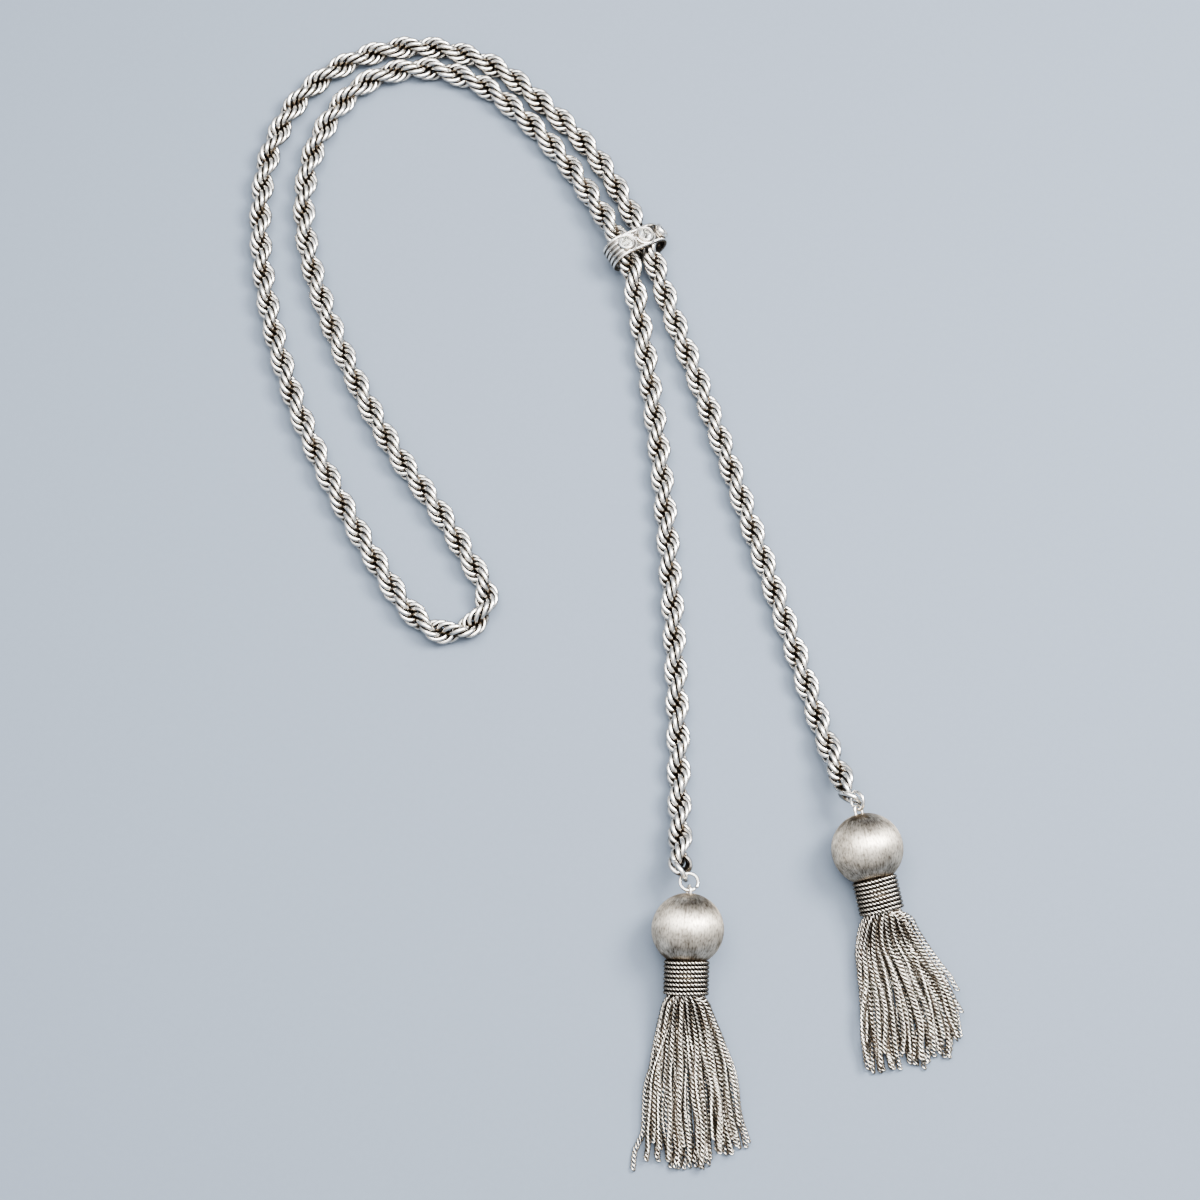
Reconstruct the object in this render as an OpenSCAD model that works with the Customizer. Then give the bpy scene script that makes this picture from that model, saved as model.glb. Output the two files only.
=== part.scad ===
// Tassel necklace: one long twisted rope chain, folded in two so that both ends
// pass through a jewelled slide, with a ball and a chain-fringe tassel on each end.
// It lies on a table. +X is to the right, +Y runs up towards the arch, and the
// table top is z = 0.

/* [Rope chain] */
// Outer diameter of the rope chain
rope_d = 6.5; // [6:0.1:6.6]
// Wire of the last link at each end of the rope
link_wire = 1.1; // [0.9:0.05:1.2]
// Height of the middle of the last link, from wire centre to wire centre
link_ring = 5.5; // [5.2:0.1:5.8]

/* [Slide] */
// Outside width of the band, across both ropes
slide_w = 17.4; // [17:0.1:18]
// Outside height of the band
slide_h = 9.4; // [9:0.1:9.6]
// Length of the band along the ropes
slide_len = 6; // [5.6:0.1:6.4]
// Thickness of the band's sheet, without the wires on it
slide_wall = 0.55; // [0.5:0.05:0.6]
// Wire of the rims and ribs
rib_wire = 0.8; // [0.7:0.05:0.9]
// Number of ribs between the two rims
rib_count = 3; // [2:1:4]
// Outside diameter of a stone's bezel
bezel_d = 4.3; // [4.1:0.1:4.5]
// Diameter of a stone at its girdle
stone_d = 3.4; // [3.2:0.1:3.4]

/* [Balls] */
// Outer diameter of a ball
ball_d = 17.8; // [17.4:0.1:17.8]
// Wall of the hollow ball
ball_wall = 0.8; // [0.6:0.1:1]
// How far each tassel slopes down towards its fringe, in degrees
droop = 12; // [11.5:0.5:12.5]
// Wire of the eye on each ball
eye_wire = 0.8; // [0.7:0.05:0.8]
// Inside diameter of the open jump ring
jump_inner = 3.65; // [3.5:0.05:3.75]
// Wire of the jump ring
jump_wire = 0.85; // [0.75:0.05:0.9]

/* [Collars] */
// Outer diameter of the collar over its rows of wire
collar_d = 11.3; // [11:0.1:11.4]
// Distance from the ball's centre to the collar's far rim
collar_end = 15.9; // [15.5:0.1:16.2]
// Number of rows of wire on a collar
collar_rows = 8; // [7:1:9]

/* [Fringes] */
// Diameter of the head that the strands are fixed in
head_d = 8.6; // [8:0.1:8.7]
// Half the width of a lock of strands at its tip
lock_tip = 2.3; // [2:0.1:2.5]

/* [Hidden] */
$fn = 64;
gap = 0.1;

silver = "silver";
dark_silver = "darkgray";

// Middle line of the rope, from the left end through the slide and down the inner strand
inner_route = [
    [23.3, -80.5, 8.9], [23.5, -72, 5.8], [23.4, -60, 3.5], [23.2, -40, 3.3], [22.6, -20, 3.3],
    [21.6, 0, 3.3], [20.2, 20, 3.3], [18.2, 40, 3.3], [15.6, 60, 3.5], [13.4, 74, 5],
    [11.4, 85.1, 6.8], [8.7, 91.6, 6.6], [2.4, 103.5, 5], [-6.2, 117.5, 3.5], [-17.2, 130.6, 3.3],
    [-30.9, 142, 3.3],
    [-47, 146.4, 3.3], [-62, 141.6, 3.3], [-72.7, 127.5, 3.3], [-77.2, 110, 3.3], [-76, 92, 3.3],
    [-71, 74.5, 3.3], [-62, 53, 3.3], [-51, 32.5, 3.3], [-39, 15.5, 3.3], [-30.2, 1, 3.3],
    [-25.8, -8, 3.3], [-29, -16, 3.3]];
// The same from the right end through the slide and down the outer strand
outer_route = [
    [65.3, -61.5, 9.1], [62.2, -52, 5.8], [58.9, -41, 3.5], [53.6, -23, 3.3], [47.7, -4, 3.3],
    [41.7, 15, 3.3], [35.7, 34, 3.3], [29.3, 53, 3.4], [22.6, 72, 4.1], [17.4, 88.3, 5],
    [14.6, 95, 4.8], [9.4, 106.6, 4], [1.3, 120.4, 3.3], [-11.2, 134.2, 3.3], [-26.9, 147.6, 3.3],
    [-46, 153.2, 3.3],
    [-64.2, 149.5, 3.3], [-78.5, 138.5, 3.3], [-86.9, 121.6, 3.3], [-89.2, 102, 3.3], [-86.5, 77, 3.3],
    [-79, 50, 3.3], [-68.2, 25, 3.3], [-53.5, -1, 3.3], [-45.5, -12.5, 3.3], [-37.5, -18.2, 3.3],
    [-29, -16, 3.3]];
rope_sides = 12;
// A ring is added half way along each step that turns by more than this, in degrees
sharp_turn = 24;

// Last link of each end: centre, and the heading of its upright plane
left_link_at = [23.1, -82, 9.6];
left_link_heading = -54.5;
right_link_at = [65.9, -63.7, 9.8];
right_link_heading = -25.5;

// Each tassel: centre of the ball, heading from -Y towards +X, turn of the eye and of
// the jump ring about the tassel, drop and swing of the jump ring, eye height
ball_r = ball_d / 2;
left_ball = [25, -96.4, ball_r];
right_ball = [69.7, -76.3, ball_r];
left_heading = -2;
right_heading = 13;
left_eye_turn = 68;
right_eye_turn = -32;
left_ring_turn = 0;
right_ring_turn = 58;
left_ring_drop = 23;
right_ring_drop = 0;
left_ring_swing = 0;
right_ring_swing = 12;
left_ring_seat = 9.5;
right_ring_seat = 9.9;

eye_r = 1.1;
eye_play = 0.2;
shank_r = 0.5;
bridge_at = 6.6;
jump_r = (jump_inner + jump_wire) / 2;

collar_start = 6.9;
row_pitch = (collar_end - collar_start) / collar_rows;
row_wire = row_pitch + gap;
collar_wall_r = collar_d / 2 - row_wire / 2;
collar_bore = head_d / 2 + 0.15;

// The slide: centre, turn in plan and roll down to the right
slide_at = [13, 90.1, 5.85];
slide_yaw = 31;
slide_roll = 15;
end_r = (slide_h - rib_wire) / 2;
end_x = (slide_w - slide_h) / 2;
bore_r = end_r - slide_wall;
rim_y = (slide_len - rib_wire) / 2;
girdle_rise = 0.85;
bezel_rise = 1.3;
bezel_bore = stone_d / 2 + gap;
seat_r = 1.35;
seat_drop = 0.45;

// Stones: [distance along the flat front, lean away from upright in degrees]
LEFT_STONE = [-4, -4];
MIDDLE_STONE = [2, 0];
RIGHT_STONE = [4, 50];

// Locks of the fringe: [across at the collar, up at the collar, across at the tip,
// length of the lock from the ball's centre, layer counted from the table]
LEFT_LOCKS = [
    [-3.2, -1.6, -8.2, 56.5, 0], [-1.9, -2.9, -4.2, 55.5, 0], [0, -3.4, -0.4, 57.8, 0],
    [1.9, -2.9, 3.6, 57.6, 0], [3.1, -1.9, 8.2, 54, 0], [3.5, -0.7, 13.2, 52, 0],
    [-3.4, 0.4, -6.4, 54.5, 1], [-1.7, 0, -2.4, 57, 1], [0.6, 0, 1.8, 57.4, 1],
    [2.6, 0.2, 6.2, 55.6, 1], [3.3, 1.4, 10.8, 53.4, 1], [-2.5, 2.3, -4, 50, 2],
    [-0.6, 3.2, 0.6, 52, 2], [1.8, 2.8, 5.6, 50, 2]];
RIGHT_LOCKS = [
    [-3.4, -0.9, -12, 52, 0], [-2.6, -2.3, -8.4, 54, 0], [-0.9, -3.2, -4, 54, 0],
    [0.9, -3.2, 0.4, 55.2, 0], [2.6, -2.3, 5, 53, 0], [3.4, -1.1, 10.2, 50.5, 0],
    [-3.3, 1, -9.6, 52.5, 1], [-1.7, 0, -5.8, 54, 1], [0.4, 0, -1.6, 53.6, 1],
    [2.4, 0.2, 3.2, 52.6, 1], [3.3, 1.2, 7.2, 53.6, 1], [-2.2, 2.5, -6, 48, 2],
    [0, 3.3, -1, 50, 2], [2.2, 2.5, 4.2, 48, 2]];
lock_head = [1.3, 1.1, 1.3];
lock_start = 17.3;
lock_steps = 5;
// Height of the middle of each layer: [near the collar's rim, at mid length, at the tips]
LAYER_Z = [[2.3, 1.25, 1.15], [4.9, 3, 2.1], [7.2, 4.7, 3.1]];
spread_power = 0.8;

function unit(v) = v / norm(v);
function between(p, q, r, s) = (9 * (q + r) - p - s) / 16;
function prior(path, i) = i > 0 ? path[i - 1] : 2 * path[0] - path[1];
function after(path, i) = i < len(path) - 1 ? path[i + 1] : 2 * path[i] - path[i - 1];
function turn(u, v) = acos(unit(u) * unit(v));
function is_sharp(path, i) = i < len(path) - 1
    && turn(path[i] - prior(path, i), after(path, i + 1) - path[i + 1]) > sharp_turn;
function stations(path) = [
    for (i = [0 : len(path) - 1])
        each is_sharp(path, i)
            ? [path[i], between(prior(path, i), path[i], path[i + 1], after(path, i + 1))]
            : [path[i]]];
function heading_at(path, i, last) = i == len(path) - 1 ? last : unit(after(path, i) - prior(path, i));
function ring_at(p, t, r) =
    let (side = unit(cross(t, [0, 0, 1])), up = cross(side, t))
    [for (k = [0 : rope_sides - 1]) p + r * (cos(360 * k / rope_sides) * side + sin(360 * k / rope_sides) * up)];
function mix(a, b, f) = a + (b - a) * f;
function tassel_point(s, w, h) = [w, -s * cos(droop) - h * sin(droop), ball_r - s * sin(droop) + h * cos(droop)];

inner_stations = stations(inner_route);
outer_stations = stations(outer_route);
bend_heading = unit(outer_route[len(outer_route) - 2] - inner_route[len(inner_route) - 2]);

// A round rope swept through the stations, closed by a flat face at each end
module rope(path, last) {
    n = len(path);
    s = rope_sides;
    points = [for (i = [0 : n - 1]) each ring_at(path[i], heading_at(path, i, last), rope_d / 2)];
    skin = [for (i = [0 : n - 2], k = [0 : s - 1])
        each let (a = i * s + k, b = i * s + (k + 1) % s)
            [[a, b, b + s], [a, b + s, a + s]]];
    caps = [[for (k = [s - 1 : -1 : 0]) k], [for (k = [0 : s - 1]) (n - 1) * s + k]];
    polyhedron(points, concat(skin, caps), convexity = 10);
}

module rope_chain_left() {
    color(silver) rope(inner_stations, bend_heading);
}

module rope_chain_right() {
    color(silver) rope(outer_stations, -bend_heading);
}

module torus(r, wire) {
    rotate_extrude() translate([r, 0]) circle(d = wire, $fn = 32);
}

// Turns +Z onto the direction v
module aim(v) {
    rotate([0, acos(v[2] / norm(v)), atan2(v[1], v[0])]) children();
}

// The last round link stands upright and is cut where the rope's end face begins
module end_link(at, heading, path) {
    color(silver) difference() {
        translate(at) rotate([90, 0, heading]) torus(link_ring / 2, link_wire);
        translate(path[0]) aim(path[1] - path[0]) translate([-6, -6, -gap / 2]) cube([12, 12, 8]);
    }
}

module end_link_left() {
    end_link(left_link_at, left_link_heading, inner_stations);
}

module end_link_right() {
    end_link(right_link_at, right_link_heading, outer_stations);
}

module on_slide() {
    translate(slide_at) rotate([0, slide_roll, slide_yaw]) children();
}

module stadium(r, y0, length) {
    translate([0, y0, 0]) rotate([-90, 0, 0]) {
        for (side = [-1, 1]) translate([side * end_x, 0, 0]) cylinder(r = r, h = length);
        translate([-end_x, -r, 0]) cube([2 * end_x, 2 * r, length]);
    }
}

// Wire round the band at y: the left end always, and the rest when it is a full rim
module band_wire(y, full) {
    run = full ? 2 * end_x : end_x - 1;
    translate([-end_x, y, 0]) rotate([90, 0, 0]) rotate([0, 0, 90])
        rotate_extrude(angle = 180) translate([end_r, 0]) circle(d = rib_wire, $fn = 32);
    for (z = [-1, 1]) translate([-end_x, y, z * end_r]) rotate([0, 90, 0])
        cylinder(d = rib_wire, h = run, $fn = 32);
    if (full) translate([end_x, y, 0]) rotate([90, 0, 0]) rotate([0, 0, -90])
        rotate_extrude(angle = 180) translate([end_r, 0]) circle(d = rib_wire, $fn = 32);
}

module on_front(stone) {
    translate([stone[0], 0, 0]) rotate([0, stone[1], 0]) translate([0, 0, end_r]) children();
}

module bezel() {
    translate([0, 0, -slide_wall / 2]) cylinder(d = bezel_d, h = bezel_rise + slide_wall / 2);
}

module bezel_hole() {
    translate([0, 0, girdle_rise - seat_drop]) cylinder(r = bezel_bore, h = 2);
    translate([0, 0, -0.65]) cylinder(r = seat_r, h = 2);
}

// Band of the slide, with rims, ribs round its left end and three stone settings
module slide() {
    color(silver) on_slide() difference() {
        union() {
            stadium(end_r, -slide_len / 2, slide_len);
            for (y = [-rim_y, rim_y]) band_wire(y, true);
            for (i = [1 : rib_count]) band_wire(-rim_y + 2 * rim_y * i / (rib_count + 1), false);
            for (stone = [LEFT_STONE, MIDDLE_STONE, RIGHT_STONE]) on_front(stone) bezel();
        }
        stadium(bore_r, -slide_len / 2 - 1, slide_len + 2);
        for (stone = [LEFT_STONE, MIDDLE_STONE, RIGHT_STONE]) on_front(stone) bezel_hole();
    }
}

// Round brilliant: flat table, eight star and eight main facets, and a pointed pavilion
module stone(place) {
    r = stone_d / 2;
    table = [for (k = [0 : 7]) [0.56 * r * cos(45 * k), 0.56 * r * sin(45 * k), 0.32 * r]];
    top = [for (k = [0 : 15]) [r * cos(22.5 * k), r * sin(22.5 * k), 0.03 * r]];
    low = [for (k = [0 : 15]) [r * cos(22.5 * k), r * sin(22.5 * k), -0.03 * r]];
    faces = [for (k = [0 : 7])
        let (a = 8 + 2 * k, b = 8 + (2 * k + 1) % 16, c = 8 + (2 * k + 2) % 16, d = 8 + (2 * k + 15) % 16)
        each [[k, b, a], [k, a, d], [k, (k + 1) % 8, b]]];
    girdle = [for (k = [0 : 15]) let (m = (k + 1) % 16) each [[8 + k, 8 + m, 24 + m], [8 + k, 24 + m, 24 + k]]];
    pavilion = [for (k = [0 : 15]) [40, 24 + k, 24 + (k + 1) % 16]];
    color("white") on_slide() on_front(place) translate([0, 0, girdle_rise])
        polyhedron(concat(table, top, low, [[0, 0, -0.78 * r]]),
            concat([[7, 6, 5, 4, 3, 2, 1, 0]], faces, girdle, pavilion));
}

module stone_left() {
    stone(LEFT_STONE);
}

module stone_middle() {
    stone(MIDDLE_STONE);
}

module stone_right() {
    stone(RIGHT_STONE);
}

// Frame of a tassel: origin in the ball, -Y along the tassel to the fringe
module on_tassel(ball, heading) {
    translate(ball) rotate([droop, 0, heading]) children();
}

// Open ring through the eye, hanging towards the rope
module jump_ring(ball, heading, turn, drop, swing, seat) {
    color(silver) on_tassel(ball, heading) rotate([0, -turn, 0]) translate([0, seat, 0])
        rotate([-drop, 0, -swing]) translate([0, jump_r, 0]) torus(jump_r, jump_wire);
}

module jump_ring_left() {
    jump_ring(left_ball, left_heading, left_ring_turn, left_ring_drop, left_ring_swing, left_ring_seat);
}

module jump_ring_right() {
    jump_ring(right_ball, right_heading, right_ring_turn, right_ring_drop, right_ring_swing, right_ring_seat);
}

// Staple through two holes in the ball, with a bridge inside and a shank down to the fringe
module eye(ball, heading, turn, seat) {
    crown = seat + (jump_wire + eye_wire) / 2 + eye_play - eye_r;
    shank_end = -collar_start - 3;
    color(silver) on_tassel(ball, heading) rotate([0, -turn, 0]) {
        translate([0, crown, 0]) rotate_extrude(angle = 180) translate([eye_r, 0])
            circle(d = eye_wire, $fn = 32);
        for (side = [-1, 1]) translate([side * eye_r, bridge_at, 0]) rotate([-90, 0, 0])
            cylinder(d = eye_wire, h = crown - bridge_at, $fn = 32);
        translate([0, bridge_at, 0]) rotate([90, 0, 0]) cylinder(r = 1.8, h = 0.6);
        translate([0, bridge_at, 0]) rotate([90, 0, 0]) cylinder(r = shank_r, h = bridge_at - shank_end);
    }
}

module eye_left() {
    eye(left_ball, left_heading, left_eye_turn, left_ring_seat);
}

module eye_right() {
    eye(right_ball, right_heading, right_eye_turn, right_ring_seat);
}

// Hollow ball with two small holes for the eye and one for the shank
module ball(ball, heading, turn) {
    color(dark_silver) on_tassel(ball, heading) rotate([0, -turn, 0]) difference() {
        sphere(r = ball_r);
        sphere(r = ball_r - ball_wall);
        for (side = [-1, 1]) translate([side * eye_r, 5, 0]) rotate([-90, 0, 0])
            cylinder(r = eye_wire / 2 + gap, h = 5, $fn = 32);
        translate([0, -5, 0]) rotate([90, 0, 0]) cylinder(r = shank_r + gap, h = 5, $fn = 32);
    }
}

module ball_left() {
    ball(left_ball, left_heading, left_eye_turn);
}

module ball_right() {
    ball(right_ball, right_heading, right_eye_turn);
}

// Tube of soldered wire rows that grips the head of the fringe
module collar(ball, heading) {
    color(dark_silver) on_tassel(ball, heading) rotate([90, 0, 0]) difference() {
        rotate_extrude() {
            translate([collar_bore, collar_start]) square([collar_wall_r - collar_bore, collar_end - collar_start]);
            for (i = [0 : collar_rows - 1])
                translate([collar_wall_r, collar_start + row_pitch * (i + 0.5)]) circle(d = row_wire, $fn = 32);
        }
        sphere(r = ball_r + gap);
    }
}

module collar_left() {
    collar(left_ball, left_heading);
}

module collar_right() {
    collar(right_ball, right_heading);
}

// Middle of a lock at step f of its length, from the collar (0) to the tip (1)
function lock_mid(lock, f) =
    let (start = tassel_point(lock_start, lock[0], lock[1]), z = LAYER_Z[lock[4]],
         low = f < 0.5 ? mix(z[0], z[1], (f - 0.2) / 0.3) : mix(z[1], z[2], (f - 0.5) / 0.5))
    [mix(start[0], lock[2], pow(f, spread_power)),
     mix(start[1], -lock[3], f),
     f == 0 ? start[2] : low];

module lock_section(lock, f) {
    size = mix(lock_head, [lock_tip, lock_head[1], 1.05], f);
    translate(lock_mid(lock, f)) scale(size) sphere(r = 1, $fn = 8);
}

// Fringe: flattened locks of fine chains, fused to the head that sits in the collar
module fringe(ball, heading, locks) {
    head_start = collar_start + 3.2;
    color(dark_silver) {
        on_tassel(ball, heading) rotate([90, 0, 0]) translate([0, 0, head_start])
            cylinder(d = head_d, h = lock_start + 0.2 - head_start, $fn = 24);
        translate([ball[0], ball[1], 0]) rotate([0, 0, heading])
            for (lock = locks, i = [0 : lock_steps - 1]) hull() {
                lock_section(lock, i / lock_steps);
                lock_section(lock, (i + 1) / lock_steps);
            }
    }
}

module fringe_left() {
    fringe(left_ball, left_heading, LEFT_LOCKS);
}

module fringe_right() {
    fringe(right_ball, right_heading, RIGHT_LOCKS);
}

rope_chain_left();
rope_chain_right();
end_link_left();
end_link_right();
slide();
stone_left();
stone_middle();
stone_right();
jump_ring_left();
jump_ring_right();
eye_left();
eye_right();
ball_left();
ball_right();
collar_left();
collar_right();
fringe_left();
fringe_right();
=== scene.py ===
import math
import random

import bmesh
import bpy
from mathutils import Matrix, Vector
from mathutils.bvhtree import BVHTree


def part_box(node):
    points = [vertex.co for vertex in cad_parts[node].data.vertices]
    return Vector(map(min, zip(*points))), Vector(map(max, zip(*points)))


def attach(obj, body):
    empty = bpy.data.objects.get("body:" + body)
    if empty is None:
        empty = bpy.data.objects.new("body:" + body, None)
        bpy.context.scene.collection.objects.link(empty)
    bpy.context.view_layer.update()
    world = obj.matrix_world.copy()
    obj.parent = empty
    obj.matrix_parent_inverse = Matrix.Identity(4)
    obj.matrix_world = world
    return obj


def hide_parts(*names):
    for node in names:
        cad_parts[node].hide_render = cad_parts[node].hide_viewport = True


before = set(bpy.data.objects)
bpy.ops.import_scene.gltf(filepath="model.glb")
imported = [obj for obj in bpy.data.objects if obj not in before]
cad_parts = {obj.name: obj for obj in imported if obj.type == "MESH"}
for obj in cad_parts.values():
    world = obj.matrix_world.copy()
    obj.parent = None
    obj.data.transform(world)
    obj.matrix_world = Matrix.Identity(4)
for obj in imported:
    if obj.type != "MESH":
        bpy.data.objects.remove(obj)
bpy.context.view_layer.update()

bl_info = {
    "name": "Tassel Necklace",
    "version": (1, 0, 0),
    "blender": (4, 5, 0),
    "location": "3D View > Sidebar > Necklace",
    "description": "A silver rope chain with a jewelled slide and two ball-and-chain tassels",
    "category": "Add Mesh",
}

MM = 0.001
ROOT = "root"

# Middle line of the rope in millimetres, from the left end through the slide, over the
# arch to the bend, and back through the slide to the right end
LEFT_ROUTE = [
    (23.3, -80.5, 8.9), (23.5, -72, 5.8), (23.4, -60, 3.5), (23.2, -40, 3.3), (22.6, -20, 3.3),
    (21.6, 0, 3.3), (20.2, 20, 3.3), (18.2, 40, 3.3), (15.6, 60, 3.5), (13.4, 74, 5),
    (11.4, 85.1, 6.8), (8.7, 91.6, 6.6), (2.4, 103.5, 5), (-6.2, 117.5, 3.5), (-17.2, 130.6, 3.3),
    (-30.9, 142, 3.3), (-47, 146.4, 3.3), (-62, 141.6, 3.3), (-72.7, 127.5, 3.3), (-77.2, 110, 3.3),
    (-76, 92, 3.3), (-71, 74.5, 3.3), (-62, 53, 3.3), (-51, 32.5, 3.3), (-39, 15.5, 3.3),
    (-30.2, 1, 3.3), (-25.8, -8, 3.3), (-29, -16, 3.3),
]
RIGHT_ROUTE = [
    (65.3, -61.5, 9.1), (62.2, -52, 5.8), (58.9, -41, 3.5), (53.6, -23, 3.3), (47.7, -4, 3.3),
    (41.7, 15, 3.3), (35.7, 34, 3.3), (29.3, 53, 3.4), (22.6, 72, 4.1), (17.4, 88.3, 5),
    (14.6, 95, 4.8), (9.4, 106.6, 4), (1.3, 120.4, 3.3), (-11.2, 134.2, 3.3), (-26.9, 147.6, 3.3),
    (-46, 153.2, 3.3), (-64.2, 149.5, 3.3), (-78.5, 138.5, 3.3), (-86.9, 121.6, 3.3),
    (-89.2, 102, 3.3), (-86.5, 77, 3.3), (-79, 50, 3.3), (-68.2, 25, 3.3), (-53.5, -1, 3.3),
    (-45.5, -12.5, 3.3), (-37.5, -18.2, 3.3),
]
# The last link of each end: centre in millimetres, and heading of its upright plane in degrees
END_LINKS = [((23.1, -82, 9.6), -54.5), ((65.9, -63.7, 9.8), -25.5)]

# Slope of both tassels and the heading of each, in degrees from -Y towards +X
DROOP = 12
HEADINGS = {"left": -2, "right": 13}
# Open ring of each tassel: turn, drop and swing in degrees, distance of its near side from
# the ball's centre in millimetres, and where on the ring its cut shows, in degrees
OPEN_RINGS = {"left": (0, 23, 0, 9.5, -42), "right": (58, 0, 12, 9.9, 160)}

# Outline of each fringe seen from above, in millimetres: distance along the tassel from the
# ball's centre, and distance across it. The tips are (across, along). The parting is a gap
# between strands: begin and end along, line across, and half its width. The seeds are those
# of the strands' courses and of the turns of their links.
FRINGES = {
    "left": {
        "left_edge": [(16, -4.6), (19, -5.6), (26, -7.1), (34.6, -8.3), (44, -8.6), (52.4, -8.4),
                      (58, -8.8)],
        "right_edge": [(16, 4.8), (19, 6.2), (25, 9), (31.9, 11.4), (40, 13.2), (47.3, 14.7), (54, 15.6)],
        "tips": [(-9, 56), (-4.6, 55.6), (-1.5, 57.4), (3.1, 57.6), (6.7, 56.3), (8.6, 53.9),
                 (10.3, 54.3), (14.4, 51.9), (16, 52)],
        "parting": None,
        "seeds": (11, 5),
    },
    "right": {
        "left_edge": [(16, -4.4), (20, -6.5), (24.7, -8.5), (35, -9.9), (43, -11.5), (49.5, -12.9),
                      (56, -13.4)],
        "right_edge": [(16, 4.6), (20.5, 5.4), (25, 7.1), (29.3, 9), (35, 11.1), (40, 12.6), (47.4, 12.6),
                       (54, 12.2)],
        "tips": [(-13, 52.4), (-10.8, 53.6), (-9.3, 54.3), (-3.9, 54.4), (-1.8, 53.9), (1.5, 55.4),
                 (4.3, 52.3), (7.3, 54.6), (9.9, 51.3), (12.5, 48.5)],
        "parting": (41, 47, 1.2, 0.45),
        "seeds": (29, 6),
    },
}
# Strands of the fringe, layer by layer from the table: number, heights at the collar of the
# even and the odd strands above the tassel's axis, and height above the table at mid length
# and at the tips, in millimetres
LAYERS = [(19, (-3.4, -2.0), (0.85, 0.8)), (18, (-0.7, 0.8), (2.5, 1.95)), (14, (2.1, 3.4), (4.1, 3.0))]
# Single strands that leave the others: layer, share across at the collar, and the points
# (along, across) that they pass through
STRAYS = {
    "left": [(0, -0.9, [(30, -7.6), (40, -8.9), (45, -9.6), (50, -9.5), (54, -11), (58, -11.9)])],
    "right": [(2, 0.35, [(19.5, 5), (24, 7), (30, 8.9), (38, 11.2), (44, 12.6)]),
              (2, 0.6, [(18.6, 6.2), (22.5, 7.2), (28.5, 9.4), (34.5, 11.7), (38.6, 13)])],
}
# Along every strand, in millimetres from the ball's centre: its start inside the collar, where
# it begins to wander, its mid length, and its tip region. The bundle's radius is at the start.
STRAND_START, STRAND_LOOSE, STRAND_MIDDLE, STRAND_TIPS = 14.5, 18, 36, 50
BUNDLE_RADIUS = 3.95

# The slide: centre in millimetres, turn in plan and roll to the right in degrees
SLIDE_AT = (13, 90.1, 5.85)
SLIDE_YAW = 31
SLIDE_ROLL = 15
# Stones: distance along the flat front in millimetres, and lean from upright in degrees
STONES = {"stone_left": (-4, -4), "stone_middle": (2, 0), "stone_right": (4, 50)}
# Wires laid on the front: centre along it and radius in millimetres, first and last angle in
# degrees, and rise above the band in millimetres
FRONT_WIRES = [(-4, 2.62, -112, 58, 0.3), (2, 2.6, 175, 345, 0.3), (2, 2.5, 30, 150, 0.35)]
FRONT_WIRE_RADIUS = 0.3
# Silver grains on the front, in millimetres: along, across, and radius
GRAINS = [(-1.35, 1.45, 0.42), (-0.95, 0.45, 0.34), (-1.6, 2.0, 0.3), (-0.6, -0.35, 0.3)]

# Plated finishes: colour in the panel, values of the rubbed-and-lit mark at which the dark dip and the
# painted shade begin and end to give way to the plate, roughness, and size of the cloudy wear in millimetres
ROPE_WIRE = "Silver-plated rope wire"
POLISHED = "Polished silver"
CHAIN = "Antiqued silver chain"
PLATED = {
    ROPE_WIRE: ("plate", 0.26, 0.78, 0.22, 2.5),
    POLISHED: ("plate", 0.1, 0.55, 0.22, 1.8),
    CHAIN: ("fringe", 0.47, 1.12, 0.26, 1.2),
}
GLASS = "Clear cut glass stone"
# Worn silver turns dull and warm where it is seen along its surface
EDGE_TINT = (0.5, 0.48, 0.45, 1)

# The lens takes in 312 mm of the table, over the width of a square picture
CAMERA_AT = (3.5, -203.4, 592.8)
CAMERA_AIM = (3.5, -8.5, 0)
CAMERA_LENS = 72
CAMERA_SENSOR = 36
# Soft lights, in metres: place and size
LAMPS = {"overhead": ((0.02, 0.04, 0.72), (0.7, 0.5)), "side": ((0.42, 0.12, 0.62), (0.28, 0.28))}
FLOOR_HALF = 4


def linear(hex_colour):
    """A linear colour from sRGB hex digits."""
    channels = [int(hex_colour[i:i + 2], 16) / 255 for i in (0, 2, 4)]
    return tuple(c / 12.92 if c <= 0.04045 else ((c + 0.055) / 1.055) ** 2.4 for c in channels)


def opaque(rgb):
    """A colour with the fourth number that a node's colour socket wants."""
    return (*rgb, 1)


def length(name, description, default, low, high):
    """A length in the panel, with its default and its limits given in millimetres."""
    return bpy.props.FloatProperty(name=name, description=description, default=default * MM,
                                   min=low * MM, max=high * MM, unit="LENGTH")


def angle(name, description, degrees):
    """An angle in the panel, with its default given in degrees."""
    return bpy.props.FloatProperty(name=name, description=description, default=math.radians(degrees),
                                   subtype="ANGLE")


def colour(name, description, hex_colour):
    """A colour in the panel, with its default given as sRGB hex digits."""
    return bpy.props.FloatVectorProperty(name=name, description=description, default=linear(hex_colour),
                                         subtype="COLOR", min=0, max=1)


class RopeSettings(bpy.types.PropertyGroup):
    """Sizes of the rope chain"""
    width: length("Width", "Outer diameter of the rope chain", 6.5, 4, 8)
    wire: length("Wire", "Diameter of the wire of one ring", 1.2, 0.6, 1.4)
    pitch: length("Pitch", "Distance from one ring to the next along the rope", 1.468, 0.8, 4)
    turn: angle("Turn", "Turn from one ring to the next about the rope", 30)
    first_turn: angle("First turn", "Turn of the first ring about the rope", 12)
    ring_length: length("Ring length", "Outer length of one ring along the rope", 6.7, 6, 9)
    bend: length("Bend", "Sideways lean of a ring's two sides, which closes the seams", -0.12, -1, 1)
    end_ring: length("End ring", "Diameter of each end's last ring, at the middle of its wire", 5.5, 4, 6)


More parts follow.
